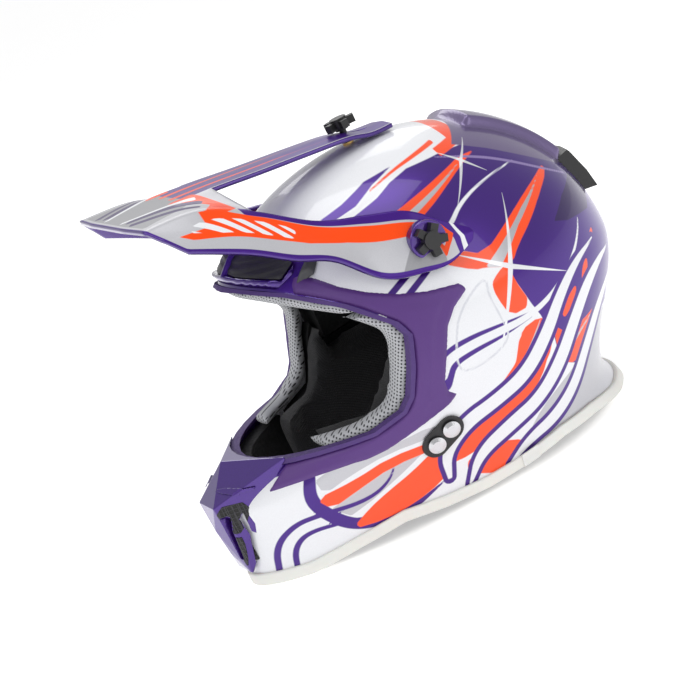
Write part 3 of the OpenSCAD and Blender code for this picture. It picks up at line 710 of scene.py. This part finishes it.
def peak_paint(t, s):
    """Paint of the peak: a runs from front to back, b from the middle to the outer edge, 32 and 28 to a station."""
    a, b = t * 32.0, s * 28.0
    fields = {}
    fields["p_grey"] = np.minimum(sdf([(5, -3), (5, 50), (26, 44), (50, 30), (50, -3)], a, b),
                                  sdf([(150, 86), (176, 80), (186, 112), (140, 112)], a, b))
    fields["p_purple"] = np.minimum.reduce([
        sdf([(50, 60), (50, 26), (300, 26), (300, -3), (44, -3), (44, 20)], a, b) + np.where(b < 30, 0, 99),
        sdf([(-9, 107), (-9, 130), (240, 130), (240, 108)], a, b),
        sdf([(56, 54), (56, 63), (120, 64), (200, 66), (240, 54)], a, b),
        sdf([(-9, -3), (-9, 130), (2.5, 130), (2.5, -3)], a, b),
        sdf([(184, 50), (260, 50), (260, 115), (204, 115)], a, b)])
    window = sdf(chaikin([(16, 66), (60, 66), (84, 70), (80, 92), (60, 90), (14, 90)], 1), a, b)
    bars = np.abs((a - 0.6 * b) % 13.0 - 6.5) - 3.6
    fields["p_orange"] = np.minimum.reduce([
        sdf([(30, 58), (60, 63), (120, 66), (180, 68), (186, 74), (150, 80), (110, 84), (84, 92), (14, 92), (10, 84),
             (26, 78)], a, b),
        sdf([(34, 20), (52, 20), (56, 54), (44, 62), (34, 58), (46, 46)], a, b),
        sdf([(158, 70), (186, 62), (196, 76), (184, 104), (176, 92), (164, 84)], a, b),
        sdf([(40, 6), (150, 12), (40, 12)], a, b)])
    fields["p_white"] = np.minimum.reduce([
        np.maximum(bars, window + 3), sdf([(6, 14), (9, 12), (50, 30), (47, 34)], a, b),
        sdf([(196, 52), (200, 52), (214, 114), (208, 114)], a, b)])
    fields["p_line"] = np.minimum(sdf([(7, 21), (12, 17), (49, 37), (44, 42)], a, b),
                                  sdf([(5, 31), (9, 27), (40, 46), (36, 50)], a, b))
    fields["p_silver"] = sdf([(166, 78), (186, 70), (182, 92)], a, b)
    return fields


store(peak, peak_paint(tt, ss))
peak_mat = paint("peak_graphics", (SILVER, 0.15), [
    ("p_grey", GREY, 0.1), ("p_purple", PURPLE, 0.35), ("p_orange", ORANGE, 0.0), ("p_silver", SILVER, 0.15),
    ("p_white", WHITE, 0.0), ("p_line", DEEP, 0.1)], coat=0.2)
set_material(peak, peak_mat)
solid = peak.modifiers.new("wall", "SOLIDIFY")
solid.thickness = 0.003
solid.offset = -1
peak.data.materials.append(gloss_purple)
solid.material_offset = 1
solid.material_offset_rim = 1
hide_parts("peak")

for side, s in (("left", 1), ("right", -1)):
    rings, seg = [(13.0, 108.0), (13.0, 114.2), (12.4, 115.0), (4.0, 115.0), (3.3, 114.5), (3.3, 108.0)], 64
    turns = np.linspace(0, 2 * np.pi, seg, endpoint=False)
    bv = [(s * x, 15 + r * math.cos(a), 180 + r * math.sin(a)) for r, x in rings for a in turns]
    bf = [(k * seg + i, k * seg + (i + 1) % seg, (k + 1) * seg + (i + 1) % seg, (k + 1) * seg + i)[::s]
          for k in range(len(rings) - 1) for i in range(seg)]
    boss = mesh_object("peak_boss_" + side, bv, bf, "peak")
    set_material(boss, gloss_purple)
    bevel(boss, 0.3)

# ---------- materials of the carried CAD nodes ----------
black = plastic("black_plastic", (0.010, 0.010, 0.011), 0.38, 1200, 0.2, 0.25)
rubber = plastic("black_rubber", (0.07, 0.03, 0.17), 0.6, 900, 0.25, 0.1)
foam = plastic("foam_black", (0.008, 0.008, 0.009), 0.9, 350, 0.6, 0.3)
chrome = plastic("chrome", (0.62, 0.62, 0.64), 0.2, 1500, 0.03, 0.02, Metallic=1.0)
steel = plastic("steel", (0.55, 0.55, 0.57), 0.28, 1800, 0.06, 0.05, Metallic=1.0)
brass = plastic("brass", (0.72, 0.48, 0.18), 0.25, 1800, 0.05, 0.05, Metallic=1.0)


def fabric(name, colour, scale=900.0, holes=False):
    m = Nodes(name, Roughness=0.9, Sheen_Weight=0.12, Sheen_Roughness=0.5)
    base_vec = m.coords()
    sep = m.add("ShaderNodeSeparateXYZ")
    m.link(base_vec, sep.inputs[0])
    x, y, z = sep.outputs
    a = m.math("ADD", x, m.math("MULTIPLY", y, 0.8))
    if holes:
        slant = m.math("ADD", m.math("MULTIPLY", a, 1350.0), m.math("MULTIPLY", z, 700.0))
        other = m.math("SUBTRACT", m.math("MULTIPLY", z, 1700.0), m.math("MULTIPLY", a, 450.0))
        pattern = m.math("MULTIPLY", m.math("SINE", slant), m.math("SINE", other))
        mask = m.ramp(pattern, 0.38, 0.62)
        col = m.mix(mask, m.mix(m.noise(60, 3), tuple(c * 0.92 for c in colour), colour), (0.045, 0.045, 0.05))
        m.colour(col)
        m.bump(m.math("SUBTRACT", 1.0, mask), 0.9, 0.0009)
    else:
        warp = m.math("SINE", m.math("MULTIPLY", a, scale * 4))
        weft = m.math("SINE", m.math("MULTIPLY", z, scale * 4))
        weave = m.math("MULTIPLY", warp, weft)
        m.colour(m.mix(m.ramp(weave, -1, 1), tuple(c * 0.7 for c in colour), tuple(c * 1.25 for c in colour)))
        m.bump(weave, 0.5, 0.0004)
    return m.mat


black_cloth = fabric("black_brushed_fabric", (0.010, 0.010, 0.012))
grey_mesh = fabric("grey_perforated_mesh", (0.52, 0.53, 0.55), holes=True)
webbing = fabric("black_webbing", (0.02, 0.02, 0.022), 500.0)

LOOKS = {
    "eyeport_gasket": rubber, "rim_joiners": rim_mat, "chin_vent_cover": gloss_purple,
    "chin_bar_liner": foam, "rear_vents": black, "eps_liner": foam, "pad_snaps": black,
    "rivet_plates": black, "strap_rivets": chrome, "strap_anchors": steel, "strap_left": webbing,
    "strap_right": webbing, "strap_snap": black, "d_ring_lower": steel, "d_ring_upper": steel, "peak_nuts": brass,
    "centre_knob": black, "side_knob_left": black, "side_knob_right": black,
    "cheek_core_left": foam, "cheek_core_right": foam,
}
for node, mat in LOOKS.items():
    set_material(bpy.data.objects[node], mat)
for node in ("chin_vent_cover", "rear_vents", "centre_knob",
             "side_knob_left", "side_knob_right", "rivet_plates", "rim_joiners"):
    bevel(bpy.data.objects[node], 0.6, 2, 25)


def hex_mesh(name):
    """Black honeycomb: raised walls round cells painted darker, as painted shade in the open cells."""
    m = Nodes(name, Roughness=0.5)
    cells = m.add("ShaderNodeTexVoronoi", feature="DISTANCE_TO_EDGE", Scale=330.0, Randomness=0.08)
    m.link(m.coords(), cells.inputs["Vector"])
    wall = m.ramp(cells.outputs["Distance"], 0.06, 0.16, 1.0, 0.0)
    # painted shade: the cells are darker than the walls of the same black plastic
    m.colour(m.mix(wall, (0.002, 0.002, 0.002), (0.035, 0.035, 0.04)))
    m.bump(wall, 0.9, 0.0012)
    return m.mat


honeycomb = hex_mesh("chin_honeycomb")
patch("chin_mesh", lambda p: np.minimum.reduce([18 - np.abs(p[:, 0]), p[:, 2] - 20, 74 - p[:, 2], -90 - p[:, 1]]),
      lambda f, p: 0.5 + 1.7 * smooth(f / 2), honeycomb, replaces=("chin_vent_mesh",))


def drape(name, node, outline, lift, mat):
    """A thin panel laid on the front of a CAD node, inside an outline of (x, z)."""
    pts = np.array(outline, dtype=float)
    xs = np.arange(pts[:, 0].min() - 1, pts[:, 0].max() + 1.01, 0.5)
    zs = np.arange(pts[:, 1].min() - 1, pts[:, 1].max() + 1.01, 0.5)
    cover = bpy.data.objects[node]
    verts, good = [], []
    for z0 in zs:
        for x0 in xs:
            hit, place, normal, _ = cover.ray_cast(Vector((x0 / 1000, -0.3, z0 / 1000)), Vector((0, 1, 0)))
            verts.append([*(place + normal * lift / 1000)] if hit else [x0 / 1000, 0, z0 / 1000])
            good.append(hit)
    verts, good, w = np.array(verts), np.array(good), len(xs)
    tris = []
    for r in range(len(zs) - 1):
        for c in range(w - 1):
            q = r * w + c
            tris += [(q, q + 1, q + 1 + w), (q, q + 1 + w, q + w)]
    tris = np.array([f for f in tris if good[list(f)].all()])
    flat = np.column_stack([verts, np.repeat(zs, w), np.tile(xs, len(zs))])
    flat, tris = clip(flat, tris, -sdf(chaikin(outline, 1), flat[:, 4], flat[:, 3]))
    obj = mesh_object(name, flat[:, :3], tris, "helmet", raw=True)
    mod = obj.modifiers.new("wall", "SOLIDIFY")
    mod.thickness = 0.0006
    set_material(obj, mat)


PANELS = [("chin_window_upper_", [(32, 64), (14, 67), (16, 46), (23, 44)], 0.3, honeycomb, "black_plastic"),
          ("chin_window_lower_", [(23, 41), (15, 43), (12, 20), (15, 20)], 0.3, honeycomb, "black_plastic"),
          ("chin_vent_rib_", [(34, 70), (10, 74), (10, 76), (36, 73)], 1.2, gloss_purple, "gloss_purple")]
for side, s in (("left", 1), ("right", -1)):
    for name, outline, lift, mat, slot in PANELS:
        drape(name + side, "chin_vent_cover", [(s * x, z) for x, z in outline], lift, mat)


# ---------- soft pads ----------
def pad_from(node, name, mat, voxel=5.0, cap=4.0, shrink=0.8, pressure=4.0):
    """A padded piece from a CAD solid: remeshed, blown up a little as cloth, held within cap millimetres."""
    source = bpy.data.objects[node]
    mesh = source.data.copy()
    mesh.name = name
    mesh.transform(source.matrix_world)
    obj = bpy.data.objects.new(name, mesh)
    bpy.context.scene.collection.objects.link(obj)
    remesh = obj.modifiers.new("remesh", "REMESH")
    remesh.mode = "VOXEL"
    remesh.voxel_size = voxel / 1000
    smoother = obj.modifiers.new("smooth", "SMOOTH")
    smoother.factor = 0.5
    smoother.iterations = 4
    apply_modifiers(obj)
    count = len(obj.data.vertices)
    start = np.empty(count * 3)
    obj.data.vertices.foreach_get("co", start)
    start = start.reshape(-1, 3)
    nrm = np.empty(count * 3)
    obj.data.vertices.foreach_get("normal", nrm)
    start = start - nrm.reshape(-1, 3) * shrink / 1000
    obj.data.vertices.foreach_set("co", start.ravel())
    cloth = obj.modifiers.new("cloth", "CLOTH")
    cloth.settings.use_pressure = True
    cloth.settings.uniform_pressure_force = pressure
    cloth.settings.effector_weights.gravity = 0
    cloth.settings.quality = 5
    cloth.point_cache.frame_start, cloth.point_cache.frame_end = 1, 20
    for f in range(1, 21):
        bpy.context.scene.frame_set(f)
    apply_modifiers(obj)
    bpy.context.scene.frame_set(1)
    end = np.empty(count * 3)
    obj.data.vertices.foreach_get("co", end)
    end = end.reshape(-1, 3)
    move = end - start
    size = np.linalg.norm(move, axis=1, keepdims=True)
    end = start + move * np.minimum(1, cap / 1000 / np.maximum(size, 1e-9))
    obj.data.vertices.foreach_set("co", end.ravel())
    obj.modifiers.new("subdivide", "SUBSURF").levels = 1
    apply_modifiers(obj)
    obj.data.shade_smooth()
    set_material(obj, mat)
    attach(obj, "helmet")
    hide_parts(node)


pad_from("brow_roll", "brow_pad", grey_mesh, 4.0, 1.5)
pad_from("cheek_roll_left", "cheek_edge_left", grey_mesh, 4.0, 1.5)
pad_from("cheek_roll_right", "cheek_edge_right", grey_mesh, 4.0, 1.5)
pad_from("cheek_pad_left", "cheek_cushion_left", black_cloth, 5.0, 4)
pad_from("cheek_pad_right", "cheek_cushion_right", black_cloth, 5.0, 4)
pad_from("crown_pad", "crown_cushion", black_cloth, 5.0, 3)
pad_from("neck_roll", "neck_cushion", black_cloth, 5.0, 3)
